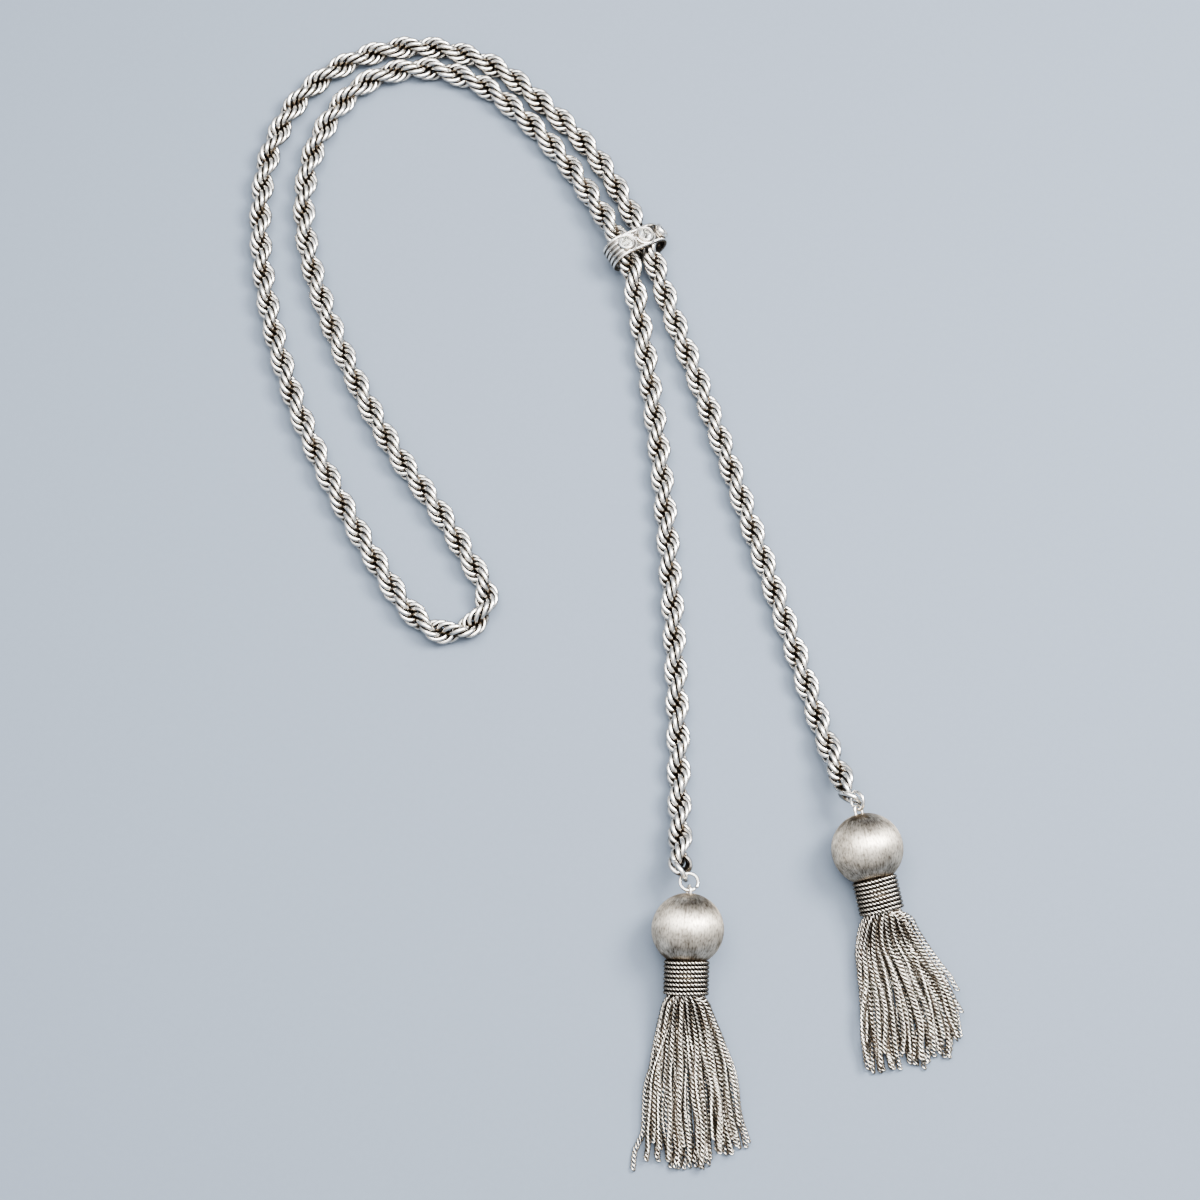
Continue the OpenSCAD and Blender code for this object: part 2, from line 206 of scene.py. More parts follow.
class TasselSettings(bpy.types.PropertyGroup):
    """Sizes of the tassels"""
    collar_width: length("Collar width", "Outer diameter of the collar over its wires", 11.3, 9, 12)
    collar_rows: bpy.props.IntProperty(
        name="Collar rows", description="Rows of twisted wire on a collar", default=8, min=4, max=12)
    collar_twists: bpy.props.IntProperty(
        name="Collar twists", description="Full twists of the wire in one row", default=17, min=6, max=30)
    ring_width: length("Ring width", "Inside diameter of the open ring", 3.65, 3, 4)
    ring_wire: length("Ring wire", "Diameter of the open ring's wire", 0.85, 0.6, 1)
    link_length: length("Link length", "Length of a fringe link at the middle of its wire", 1.5, 1, 3)
    link_width: length("Link width", "Width of a fringe link at the middle of its wire", 0.85, 0.5, 2)
    link_wire: length("Link wire", "Diameter of the wire of a fringe link", 0.46, 0.2, 0.6)
    link_pitch: length("Link pitch", "Distance from one fringe link to the next", 1.04, 0.8, 2)
    link_bend: length("Link bend", "Rise of a fringe link's corners out of its plane", -0.26, -0.5, 0.5)
    link_slant: length("Link slant", "Sideways lean of a fringe link along the strand", -0.3, -0.5, 0.5)
    link_shake: angle("Link shake", "Most that a fringe link turns from its neighbours", 9)


class SlideSettings(bpy.types.PropertyGroup):
    """Sizes of the slide"""
    width: length("Width", "Outside width of the band across both ropes", 17.4, 14, 20)
    height: length("Height", "Outside height of the band with its wires", 9.4, 8, 11)
    length: length("Length", "Length of the band along the ropes", 6, 4, 8)
    wall: length("Wall", "Thickness of the band's sheet", 0.55, 0.3, 0.8)
    wire: length("Wire", "Diameter of the rims and ribs", 0.8, 0.4, 1)
    bezel: length("Bezel", "Outside diameter of a stone's bezel", 4.3, 3.8, 5)


class FinishSettings(bpy.types.PropertyGroup):
    """Colours of the metals"""
    plate: colour("Plate", "Colour of the bright silver plate", "F4EFE7")
    # The tarnish colour is also painted shade in the recesses, on sides that face down and towards the
    # balls' poles
    tarnish_and_painted_shade: colour("Tarnish", "Colour of the dark antiquing left in the recesses", "50463A")
    brushed: colour("Brushed", "Colour of the brushed balls", "EFE3D0")
    fringe: colour("Fringe", "Colour of the fringe chains", "F0E8DA")


class StageSettings(bpy.types.PropertyGroup):
    """Colour of the floor and power of the lights"""
    floor: colour("Floor", "Colour of the plain floor", "616B78")
    power: bpy.props.FloatProperty(
        name="Power", description="Power of each of the two soft lights", default=19, unit="POWER")


def pin(sockets, key):
    """The socket with a number or a name that is in use."""
    if isinstance(key, int):
        return sockets[key]
    return next(s for s in sockets if s.name == key and s.enabled)


def add(tree, kind, inputs=None, **settings):
    """Adds a node with its own settings. Each input takes a value, another node's socket, or
    a node, which stands for the first of its outputs that is in use."""
    made = tree.nodes.new(kind)
    for name, value in settings.items():
        setattr(made, name, value)
    for key, value in (inputs or {}).items():
        if isinstance(value, bpy.types.Node):
            value = next(s for s in value.outputs if s.enabled)
        if isinstance(value, bpy.types.NodeSocket):
            tree.links.new(value, pin(made.inputs, key))
        else:
            pin(made.inputs, key).default_value = value
    return made


def new_tree(name, inputs):
    """An empty Geometry Nodes tree with named inputs, given as label: (socket type, default),
    and the sockets of its Group Input."""
    tree = bpy.data.node_groups.new(name, "GeometryNodeTree")
    for way in ("OUTPUT", "INPUT"):
        tree.interface.new_socket("Geometry", in_out=way, socket_type="NodeSocketGeometry")
    for label, (kind, default) in inputs.items():
        socket = tree.interface.new_socket(label, in_out="INPUT", socket_type=f"NodeSocket{kind}")
        if default is not None:
            socket.default_value = default
    return tree, add(tree, "NodeGroupInput").outputs


def wire_along(tree, given, line):
    """Sweeps a smooth round wire along a line, with the tree's own wire radius and sides."""
    section = add(tree, "GeometryNodeCurvePrimitiveCircle",
                  {"Resolution": given["Wire Sides"], "Radius": given["Wire Radius"]}, mode="RADIUS")
    solid = add(tree, "GeometryNodeCurveToMesh",
                {"Curve": line, "Profile Curve": section, "Fill Caps": True})
    return add(tree, "GeometryNodeSetShadeSmooth", {"Geometry": solid, "Shade Smooth": True})


def close_tree(tree, given, geometry):
    """Ends a tree: the instances become real faces and take their material."""
    real = add(tree, "GeometryNodeRealizeInstances", {"Geometry": geometry})
    dressed = add(tree, "GeometryNodeSetMaterial", {"Geometry": real, "Material": given["Material"]})
    add(tree, "NodeGroupOutput", {"Geometry": dressed})


def chain_tree():
    """Links along every curve. A flat link turned step by step gives a rope chain; a link whose
    sides are bent up and down gives a curb chain whose links pass through each other."""
    tree, given = new_tree("chain of links", {
        "Pitch": ("Float", 2 * MM), "Half Length": ("Float", 2.7 * MM), "Half Width": ("Float", 2.7 * MM),
        "Wire Radius": ("Float", 0.5 * MM), "Bend": ("Float", 0.0), "Slant": ("Float", 0.0),
        "Turn": ("Float", 0.0), "First Turn": ("Float", 0.0), "Shake": ("Float", 0.0), "Seed": ("Int", 1),
        "Link Segments": ("Int", 12), "Wire Sides": ("Int", 5), "Material": ("Material", None)})

    # Middle line of one link's wire, drawn from a circle of radius 1
    outline = add(tree, "GeometryNodeCurvePrimitiveCircle",
                  {"Resolution": given["Link Segments"], "Radius": 1.0}, mode="RADIUS")
    unit = add(tree, "ShaderNodeSeparateXYZ", {0: add(tree, "GeometryNodeInputPosition")})
    across, along = unit.outputs["X"], unit.outputs["Y"]
    corner = add(tree, "ShaderNodeMath", {0: across, 1: along}, operation="MULTIPLY")
    bend = add(tree, "ShaderNodeMath", {0: given["Bend"], 1: 2.0}, operation="MULTIPLY")
    rise = add(tree, "ShaderNodeMath", {0: corner, 1: bend}, operation="MULTIPLY")
    slant = add(tree, "ShaderNodeMath", {0: along, 1: given["Slant"]}, operation="MULTIPLY")
    width = add(tree, "ShaderNodeMath",
                {0: across, 1: given["Half Width"], 2: slant}, operation="MULTIPLY_ADD")
    height = add(tree, "ShaderNodeMath", {0: along, 1: given["Half Length"]}, operation="MULTIPLY")
    shape = add(tree, "ShaderNodeCombineXYZ", {"X": width, "Y": rise, "Z": height})
    shaped = add(tree, "GeometryNodeSetPosition", {"Geometry": outline, "Position": shape})
    link = wire_along(tree, given, shaped)

    # One link at each step along the curve, turned and a little shaken about it
    upright = add(tree, "GeometryNodeSetCurveNormal", {"Curve": given["Geometry"]}, mode="Z_UP")
    points = add(tree, "GeometryNodeCurveToPoints",
                 {"Curve": upright, "Length": given["Pitch"]}, mode="LENGTH")
    index = add(tree, "GeometryNodeInputIndex")
    turn = add(tree, "ShaderNodeMath",
               {0: index, 1: given["Turn"], 2: given["First Turn"]}, operation="MULTIPLY_ADD")
    shake = add(tree, "FunctionNodeRandomValue",
                {"Min": -1.0, "Max": 1.0, "Seed": given["Seed"]}, data_type="FLOAT")
    turn = add(tree, "ShaderNodeMath", {0: shake, 1: given["Shake"], 2: turn}, operation="MULTIPLY_ADD")
    twist = add(tree, "FunctionNodeAxisAngleToRotation", {"Axis": (0, 0, 1), "Angle": turn})
    facing = add(tree, "FunctionNodeRotateRotation",
                 {"Rotation": points.outputs["Rotation"], "Rotate By": twist}, rotation_space="LOCAL")
    links = add(tree, "GeometryNodeInstanceOnPoints",
                {"Points": points.outputs["Points"], "Instance": link, "Rotation": facing})
    close_tree(tree, given, links)
    return tree


def twisted_wire_tree():
    """Two round wires twisted together along every curve."""
    tree, given = new_tree("twisted wire", {
        "Twists": ("Float", 15.0), "Wire Radius": ("Float", 0.3 * MM), "Lay Radius": ("Float", 0.3 * MM),
        "Samples": ("Int", 140), "Wire Sides": ("Int", 6), "Material": ("Material", None)})
    fine = add(tree, "GeometryNodeResampleCurve",
               {"Curve": given["Geometry"], "Count": given["Samples"]}, mode="COUNT")
    pair = add(tree, "GeometryNodeDuplicateElements", {"Geometry": fine, "Amount": 2}, domain="SPLINE")

    # Turn of each wire about the curve; the second one lies half a turn from the first
    share = add(tree, "GeometryNodeSplineParameter").outputs["Factor"]
    twists = add(tree, "ShaderNodeMath", {0: share, 1: given["Twists"]}, operation="MULTIPLY")
    start = add(tree, "ShaderNodeMath",
                {0: pair.outputs["Duplicate Index"], 1: math.pi}, operation="MULTIPLY")
    turn = add(tree, "ShaderNodeMath", {0: twists, 1: math.tau, 2: start}, operation="MULTIPLY_ADD")

    normal = add(tree, "GeometryNodeInputNormal")
    tangent = add(tree, "GeometryNodeInputTangent")
    side = add(tree, "ShaderNodeVectorMath", {0: tangent, 1: normal}, operation="CROSS_PRODUCT")
    offset = {}
    for number, (direction, wave) in enumerate(((normal, "COSINE"), (side, "SINE"))):
        swing = add(tree, "ShaderNodeMath", {0: turn}, operation=wave)
        reach = add(tree, "ShaderNodeMath", {0: swing, 1: given["Lay Radius"]}, operation="MULTIPLY")
        offset[number] = add(tree, "ShaderNodeVectorMath", {0: direction, "Scale": reach}, operation="SCALE")
    lay = add(tree, "ShaderNodeVectorMath", offset, operation="ADD")
    laid = add(tree, "GeometryNodeSetPosition", {"Geometry": pair.outputs["Geometry"], "Offset": lay})
    close_tree(tree, given, wire_along(tree, given, laid))
    return tree


def curve_object(name, paths, closed=False, tilts=None):
    """A curve object with one spline of straight steps for each path."""
    curve = bpy.data.curves.new(name, "CURVE")
    curve.dimensions = "3D"
    for number, path in enumerate(paths):
        spline = curve.splines.new("POLY")
        spline.points.add(len(path) - 1)
        for i, place in enumerate(path):
            spline.points[i].co = (*place, 1)
            if tilts:
                spline.points[i].tilt = tilts[number][i]
        spline.use_cyclic_u = closed
    made = bpy.data.objects.new(name, curve)
    bpy.context.scene.collection.objects.link(made)
    return made


def grow(curve, tree, values):
    """Runs a tree on a curve object and returns the result as a plain mesh."""
    modifier = curve.modifiers.new("grow", "NODES")
    modifier.node_group = tree
    sockets = {item.name: item.identifier for item in tree.interface.items_tree if item.in_out == "INPUT"}
    for label, value in values.items():
        modifier[sockets[label]] = value
    graph = bpy.context.evaluated_depsgraph_get()
    mesh = bpy.data.meshes.new_from_object(curve.evaluated_get(graph))
    curve.modifiers.remove(modifier)
    line = curve.data
    bpy.data.objects.remove(curve)
    bpy.data.curves.remove(line)
    if not mesh.polygons:
        raise RuntimeError(f"{tree.name} made no faces")
    return mesh


def smooth_path(points, steps, lowest):
    """Points on a smooth curve through the given ones, with even speed through uneven gaps,
    and none lower than the lowest height."""
    path = [Vector(p) for p in points]
    ends = [2 * path[0] - path[1]] + path + [2 * path[-1] - path[-2]]
    shortest = 1e-9
    made = []
    for i in range(1, len(ends) - 2):
        p = ends[i - 1:i + 3]
        knots = [0.0]
        for k in range(3):
            knots.append(knots[-1] + max((p[k + 1] - p[k]).length, shortest) ** 0.5)
        for step in range(steps):
            t = knots[1] + (knots[2] - knots[1]) * step / steps
            first = [p[k].lerp(p[k + 1], (t - knots[k]) / (knots[k + 1] - knots[k])) for k in range(3)]
            second = [first[k].lerp(first[k + 1], (t - knots[k]) / (knots[k + 2] - knots[k]))
                      for k in range(2)]
            made.append(second[0].lerp(second[1], (t - knots[1]) / (knots[2] - knots[1])))
    made.append(path[-1])
    return [Vector((p.x, p.y, max(p.z, lowest))) for p in made]


def circle(place, radius, count, height=0.0):
    """Points of a circle about the place's Z axis."""
    return [place @ Vector((radius * math.cos(math.tau * k / count),
                            radius * math.sin(math.tau * k / count), height)) for k in range(count)]


def arc(place, radius, begin, end, steps):
    """Points of an arc about the place's Z axis, between two angles in degrees."""
    path = []
    for k in range(steps + 1):
        turn = math.radians(begin + (end - begin) * k / steps)
        path.append(place @ Vector((radius * math.cos(turn), radius * math.sin(turn), 0)))
    return path


def pole_to_pole(radius, steps):
    """Profile (radius, height) of a ball, with a single point at each pole."""
    turns = [math.pi * i / steps for i in range(1, steps)]
    return [(0, -radius)] + [(radius * math.sin(t), -radius * math.cos(t)) for t in turns] + [(0, radius)]


def lathe(bm, profile, place, sides, closed=False):
    """Turns a profile of (radius, height) about the place's Z axis, with a UV map in turns and metres."""
    uv = bm.loops.layers.uv.get("UVMap") or bm.loops.layers.uv.new("UVMap")
    rings = []
    for radius, height in profile:
        count = 1 if radius == 0 else sides
        rings.append([bm.verts.new(point) for point in circle(place, radius, count, height)])
    travel = [0.0]
    for i in range(len(profile) - 1):
        travel.append(travel[-1] + math.dist(profile[i], profile[i + 1]))
    steps = [(i, i + 1) for i in range(len(profile) - 1)] + ([(len(profile) - 1, 0)] if closed else [])
    for i, j in steps:
        for k in range(sides):
            corners = []
            for ring, n in ((i, k), (i, k + 1), (j, k + 1), (j, k)):
                vert = rings[ring][n % len(rings[ring])]
                if vert not in [c[0] for c in corners]:
                    corners.append((vert, n / sides, travel[ring]))
            face = bm.faces.new([c[0] for c in corners])
            face.smooth = True
            for loop, (_, u, v) in zip(face.loops, corners):
                loop[uv].uv = (u, v)


def tube(bm, path, radius, sides, closed=False):
    """Sweeps a round wire along a path, closed at both ends where the path is open."""
    count = len(path)
    rings = []
    side = None
    for i in range(count):
        before = path[i - 1] if closed or i > 0 else path[i]
        after = path[(i + 1) % count] if closed or i < count - 1 else path[i]
        heading = (after - before).normalized()
        if side is None:
            side = heading.orthogonal().normalized()
        side = (side - side.dot(heading) * heading).normalized()
        up = heading.cross(side)
        rings.append([bm.verts.new(path[i] + radius * (side * math.cos(math.tau * k / sides)
                                                       + up * math.sin(math.tau * k / sides)))
                      for k in range(sides)])
    for i in range(count if closed else count - 1):
        a, b = rings[i], rings[(i + 1) % count]
        for k in range(sides):
            m = (k + 1) % sides
            bm.faces.new((a[k], a[m], b[m], b[k])).smooth = True
    if not closed:
        for ring, way in ((rings[0], 1), (rings[-1], -1)):
            middle = bm.verts.new(sum((v.co for v in ring), Vector()) / sides)
            for k in range(sides):
                corners = (ring[k], middle, ring[(k + 1) % sides])
                bm.faces.new(corners if way < 0 else corners[::-1])


def mark_open(mesh, reach, first=0, count=None):
    """Stores how open each point lies, from 0 to 1: the share of the directions off its surface that meet no
    metal within reach, which is where a polishing wheel gets and where the light gets, so the dark that a
    low value leaves in the recesses is partly the dip and partly painted shade. Where the mesh repeats every
    count points from the first, one stretch stands for all of it."""
    rays = 26
    spiral_step = math.pi * (3 - math.sqrt(5))
    lift = 0.02 * MM
    flattest = 0.1
    total = len(mesh.vertices)
    count = count or total
    metal = BVHTree.FromPolygons([v.co for v in mesh.vertices], [tuple(p.vertices) for p in mesh.polygons])
    ways = []
    for k in range(rays):
        z = 1 - (2 * k + 1) / rays
        across = math.sqrt(1 - z * z)
        turn = k * spiral_step
        ways.append(Vector((across * math.cos(turn), across * math.sin(turn), z)))
    values = []
    for vert in mesh.vertices[first:first + count]:
        normal = vert.normal
        start = vert.co + normal * lift
        free = 0.0
        seen = 0.0
        for way in ways:
            facing = way.dot(normal)
            if facing > flattest:
                seen += facing
                if metal.ray_cast(start, way, reach)[0] is None:
                    free += facing
        values.append(free / seen)
    layer = mesh.attributes.new("rub_and_painted_light", "FLOAT", "POINT")
    layer.data.foreach_set("value", [values[(i - first) % count] for i in range(total)])


def store_painted_light_and_rub(mesh, height_of):
    """Stores how bright each point is painted, from 0 to 1: how far it stands out of the recesses, by the
    given function or as marked before, times a painted light that leaves points darker where they don't face
    up."""
    painted_side_shade = 0.4
    layer = mesh.attributes.get("rub_and_painted_light") or mesh.attributes.new("rub_and_painted_light", "FLOAT", "POINT")
    values = []
    for i, vert in enumerate(mesh.vertices):
        height = height_of(vert.co) if height_of else layer.data[i].value
        # Painted light: points that face up are painted lighter, sides and undersides darker
        painted_top_light = painted_side_shade + (1 - painted_side_shade) * max(0.0, vert.normal.z)
        values.append(min(1.0, max(0.0, height)) * painted_top_light)
    layer.data.foreach_set("value", values)


def put_piece(name, source, finish, slot, *replaced, rub_and_painted_light=None):
    """Makes a finished piece from a mesh or a bmesh and sets what it rides on and stands for."""
    if isinstance(source, bmesh.types.BMesh):
        bmesh.ops.recalc_face_normals(source, faces=source.faces)
        mesh = bpy.data.meshes.new(name)
        source.to_mesh(mesh)
        source.free()
    else:
        mesh = source
    mesh.name = name
    mesh.materials.clear()
    mesh.materials.append(finish)
    store_painted_light_and_rub(mesh, rub_and_painted_light)
    piece = bpy.data.objects.new(name, mesh)
    bpy.context.scene.collection.objects.link(piece)
    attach(piece, ROOT)
    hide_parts(*replaced)


def take_over(bm, mesh):
    """Moves a mesh into a bmesh."""
    bm.from_mesh(mesh)
    bpy.data.meshes.remove(mesh)


def new_material(name):
    """An empty material and its node tree."""
    made = bpy.data.materials.new(name)
    made.use_nodes = True
    made.node_tree.nodes.clear()
    return made, made.node_tree


def close_material(tree, inputs):
    """Ends a material with a shader that takes the given values and sockets."""
    shader = add(tree, "ShaderNodeBsdfPrincipled", inputs)
    add(tree, "ShaderNodeOutputMaterial", {"Surface": shader})


def plated_silver(name, bright, dark, low, high, roughness, cloud):
    """Silver plate over brass, dipped dark and rubbed bright again: wires shine where they stand out and
    stay brown-black in the gaps, partly from the dip and partly as painted shade, and tops that face up are
    painted lighter, with faint cloudy wear between."""
    made, tree = new_material(name)
    unevenness = 0.16
    where = add(tree, "ShaderNodeTexCoord").outputs["Object"]
    rub_and_painted_light = add(tree, "ShaderNodeAttribute", attribute_name="rub_and_painted_light").outputs["Fac"]
    clouds = add(tree, "ShaderNodeTexNoise",
                 {"Vector": where, "Scale": 1 / (cloud * MM), "Detail": 3.0, "Roughness": 0.6})
    uneven = add(tree, "ShaderNodeMath", {0: clouds, 1: unevenness, 2: -unevenness / 2},
                 operation="MULTIPLY_ADD")
    # Painted shade in the recesses and painted light on upward faces, mixed with the rubbed-off dip, decide
    # how far the plate shows
    rubbed_and_painted_light = add(tree, "ShaderNodeMath", {0: rub_and_painted_light, 1: uneven}, operation="ADD")
    wear_and_painted_light = add(tree, "ShaderNodeMapRange", {"Value": rubbed_and_painted_light, "From Min": low, "From Max": high},
               interpolation_type="SMOOTHSTEP")
    tint = add(tree, "ShaderNodeMix", {"Factor": wear_and_painted_light, "A": dark, "B": bright}, data_type="RGBA")
    gloss = add(tree, "ShaderNodeMapRange", {"Value": clouds, "From Min": 0.3, "From Max": 0.7,
                                             "To Min": roughness * 0.8, "To Max": roughness * 1.25})
    close_material(tree, {"Base Color": tint, "Metallic": 1.0, "Specular Tint": EDGE_TINT,
                          "Roughness": gloss})
    return made


def brushed_silver(name, bright, dark):
    """Antiqued silver ball, brushed from pole to pole with a wire wheel: fine lines along the tassel stretch
    the highlight sideways, under cloudy tarnish and dark pits, with a painted highlight belt round the
    middle and painted shade towards the poles."""
    made, tree = new_material(name)
    # In millimetres: the way round the ball, width and length of a brushed line and of a pit,
    # and size of the clouds of tarnish
    way_round, line, pit, cloud = 56, (0.35, 4), (0.509, 1.11), 4.5
    around = add(tree, "ShaderNodeUVMap", uv_map="UVMap")
    brushing, pitting = [
        add(tree, "ShaderNodeMapping", {"Vector": around, "Scale": (way_round / wide, 1 / (long * MM), 1)})
        for wide, long in (line, pit)]
    lines = add(tree, "ShaderNodeTexNoise",
                {"Vector": brushing, "Scale": 1.0, "Detail": 4.0, "Roughness": 0.7})
    pits = add(tree, "ShaderNodeTexNoise", {"Vector": pitting, "Scale": 1.0, "Detail": 3.0})
    where = add(tree, "ShaderNodeTexCoord").outputs["Object"]
    clouds = add(tree, "ShaderNodeTexNoise",
                 {"Vector": where, "Scale": 1 / (cloud * MM), "Detail": 6.0, "Roughness": 0.65})
    rub_and_painted_light = add(tree, "ShaderNodeAttribute", attribute_name="rub_and_painted_light").outputs["Fac"]
    tone = 0.0
    # The marked share adds a painted highlight belt and painted shade towards the poles
    for source, weight in ((lines, 1.7), (clouds, 2.4), (rub_and_painted_light, 0.9), (pits, 0.9)):
        tone = add(tree, "ShaderNodeMath", {0: source, 1: weight, 2: tone}, operation="MULTIPLY_ADD")
    wear_and_painted_light = add(tree, "ShaderNodeMapRange", {"Value": tone, "From Min": 2.5, "From Max": 3.75})
    fleck = add(tree, "ShaderNodeMapRange",
                {"Value": pits, "From Min": 0.34, "From Max": 0.48, "To Min": 0.5, "To Max": 1.0})
    share = add(tree, "ShaderNodeMath", {0: wear_and_painted_light, 1: fleck}, operation="MULTIPLY")
    tint = add(tree, "ShaderNodeMix", {"Factor": share, "A": dark, "B": bright}, data_type="RGBA")
    gloss = add(tree, "ShaderNodeMapRange",
                {"Value": lines, "From Min": 0.3, "From Max": 0.7, "To Min": 0.52, "To Max": 0.4})
    tangent = add(tree, "ShaderNodeTangent", direction_type="UV_MAP", uv_map="UVMap")
    bump = add(tree, "ShaderNodeBump", {"Height": lines, "Strength": 0.35, "Distance": 0.05 * MM})
    close_material(tree, {"Base Color": tint, "Metallic": 1.0, "Specular Tint": EDGE_TINT,
                          "Anisotropic": 0.75, "Roughness": gloss, "Tangent": tangent, "Normal": bump})
    return made


def drawn_silver(name, bright, dull):
    """Solid silver wire, drawn and left plain: an even soft shine."""
    made, tree = new_material(name)
    where = add(tree, "ShaderNodeTexCoord").outputs["Object"]
    clouds = add(tree, "ShaderNodeTexNoise", {"Vector": where, "Scale": 1 / (0.8 * MM), "Detail": 3.0})
    tint = add(tree, "ShaderNodeMix", {"Factor": clouds, "A": dull, "B": bright}, data_type="RGBA")
    close_material(tree, {"Base Color": tint, "Metallic": 1.0, "Specular Tint": EDGE_TINT,
                          "Roughness": 0.25})
    return made


def cut_glass(name):
    """Clear cut paste stone: sharp bright and dark facets over the silver behind it."""
    made, tree = new_material(name)
    where = add(tree, "ShaderNodeTexCoord").outputs["Object"]
    faint = add(tree, "ShaderNodeTexNoise", {"Vector": where, "Scale": 1 / (2 * MM)})
    dull, clear = opaque(linear("F4FAF8")), opaque(linear("FFFFFF"))
    tint = add(tree, "ShaderNodeMix", {"Factor": faint, "A": dull, "B": clear}, data_type="RGBA")
    close_material(tree, {"Base Color": tint, "Transmission Weight": 1.0, "Roughness": 0.02, "IOR": 1.62})
    return made


def pale_card(name, middle):
    """Matt blue-grey card: even and pale, with a grain so fine that it only stops the flatness."""
    made, tree = new_material(name)
    darker = opaque(c * 0.955 for c in middle[:3])
    lighter = opaque(min(1, c * 1.03) for c in middle[:3])
    where = add(tree, "ShaderNodeTexCoord").outputs["Object"]
    fibre = add(tree, "ShaderNodeTexNoise", {"Vector": where, "Scale": 1 / (1.5 * MM), "Detail": 4.0})
    tint = add(tree, "ShaderNodeMix", {"Factor": fibre, "A": darker, "B": lighter}, data_type="RGBA")
    close_material(tree, {"Base Color": tint, "Roughness": 0.9})
    return made


def material(maker, name, *values):
    """The material of that name, made the first time it is asked for."""
    return bpy.data.materials.get(name) or maker(name, *values)


def plated(name):
    """One of the plated finishes, in the colours of the panel."""
    finish = bpy.context.scene.necklace_finish
    base, *wear = PLATED[name]
    return material(plated_silver, name, opaque(getattr(finish, base)), opaque(finish.tarnish_and_painted_shade), *wear)


def ball_centre(side):
    """Centre of a ball, from its node."""
    low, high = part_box(f"ball_{side}")
    return (low + high) / 2


def ball_radius(side):
    """Radius of a ball, from its node."""
    low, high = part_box(f"ball_{side}")
    return (high.x - low.x) / 2


def tassel_place(side):
    """Matrix of a tassel's frame: origin in the ball, -Y along the tassel to the fringe."""
    return (Matrix.Translation(ball_centre(side))
            @ Matrix.Rotation(math.radians(HEADINGS[side]), 4, "Z")
            @ Matrix.Rotation(math.radians(DROOP), 4, "X"))


def along_tassel(side):
    """Matrix that turns Z onto the tassel's axis, towards the fringe."""
    return tassel_place(side) @ Matrix.Rotation(math.radians(90), 4, "X")


def table_value(table, at):
    """Value at a place between the rows (place, value) of a table."""
    if at <= table[0][0]:
        return table[0][1]
    for (a, va), (b, vb) in zip(table, table[1:]):
        if at <= b:
            return va + (vb - va) * (at - a) / (b - a)
    return table[-1][1]


def ease(share):
    """A share from 0 to 1 that starts and ends slowly."""
    share = min(1.0, max(0.0, share))
    return share * share * (3 - 2 * share)


def parted(across, along, begin, end, line, gap):
    """Place across of a strand, pushed off the parting if it runs close beside it."""
    reach, closing = 3, 4
    near = max(0.0, 1 - abs(across - line) / reach)
    open_share = ease((along - begin) / closing) * ease((end + reach - along) / closing)
    return across + math.copysign(gap * near * open_share, across - line)


def strand_path(side, shape, draw, layer, share, odd, reach, own_line=None):
    """Places of one fringe strand from inside the collar to its tip, on the table. All lengths
    are in millimetres until the last line."""
    _, heights, (mid_z, tip_z) = LAYERS[layer]
    rise = heights[odd]
    narrowest = 0.2
    first_across = math.sqrt(max(narrowest, BUNDLE_RADIUS ** 2 - rise ** 2)) * share
    slope = math.radians(DROOP)
    ball_z = ball_radius(side) / MM
    # How it leaves its course: length, phase and width of its wave, drift across, kink and
    # hook of its tip, and lift off the layer below
    wave, phase, sway = draw.uniform(14, 30), draw.uniform(0, math.tau), draw.uniform(0.1, 0.5)
    drift = draw.gauss(0, 0.02 + 0.05 * layer)
    kink, hook = draw.uniform(-0.9, 0.9) * 0.5, draw.uniform(-1, 1) * draw.random() * 0.9
    lift = draw.uniform(-0.12, 0.3) * layer
    # Distances over which a strand spreads, drifts aside, comes free, settles on the others,
    # and takes the kink and the hook before its tip
    spread_over, drift_over, free_over, settle_over = 3.4, 24, 14, 9 + 3 * layer
    kink_over, hook_over = 9, 3.5
    straight = 1
    lowest = 0.8
    steps = 22
    path = []
    for i in range(steps + 1):
        along = STRAND_START + (reach - STRAND_START) * i / steps
        if own_line:
            spread = table_value([(STRAND_START, first_across)] + own_line, along)
        else:
            left = table_value(shape["left_edge"], along)
            right = table_value(shape["right_edge"], along)
            place = max(-1.0, min(1.0, share + drift * ease((along - STRAND_LOOSE) / drift_over)))
            spread = left + (right - left) * (0.5 + 0.5 * place)
        across = first_across + (spread - first_across) * ease((along - STRAND_START) / spread_over)
        free = ease((along - STRAND_LOOSE) / free_over)
        across += free * sway * math.sin(math.tau * along / wave + phase)
        across += kink * ease((along - reach + kink_over) / kink_over)
        across += hook * ease((along - reach + hook_over) / hook_over)
        if shape["parting"] and not own_line:
            across = parted(across, along, *shape["parting"])
        high = ball_z - along * math.sin(slope) + rise * math.cos(slope)
        outward = ease((along - STRAND_MIDDLE) / (STRAND_TIPS - STRAND_MIDDLE))
        rest = mid_z + (tip_z - mid_z) * outward + lift * free
        z = high + (rest - high) * ease((along - STRAND_START - straight) / settle_over)
        y = -(along * math.cos(slope) + rise * math.sin(slope) * (1 - free))
        path.append((across, y, max(z, lowest)))
    centre = ball_centre(side)
    heading = Matrix.Rotation(math.radians(HEADINGS[side]), 4, "Z")
    flat = Matrix.Translation((centre.x, centre.y, 0)) @ heading
    return [flat @ (Vector(p) * MM) for p in path]


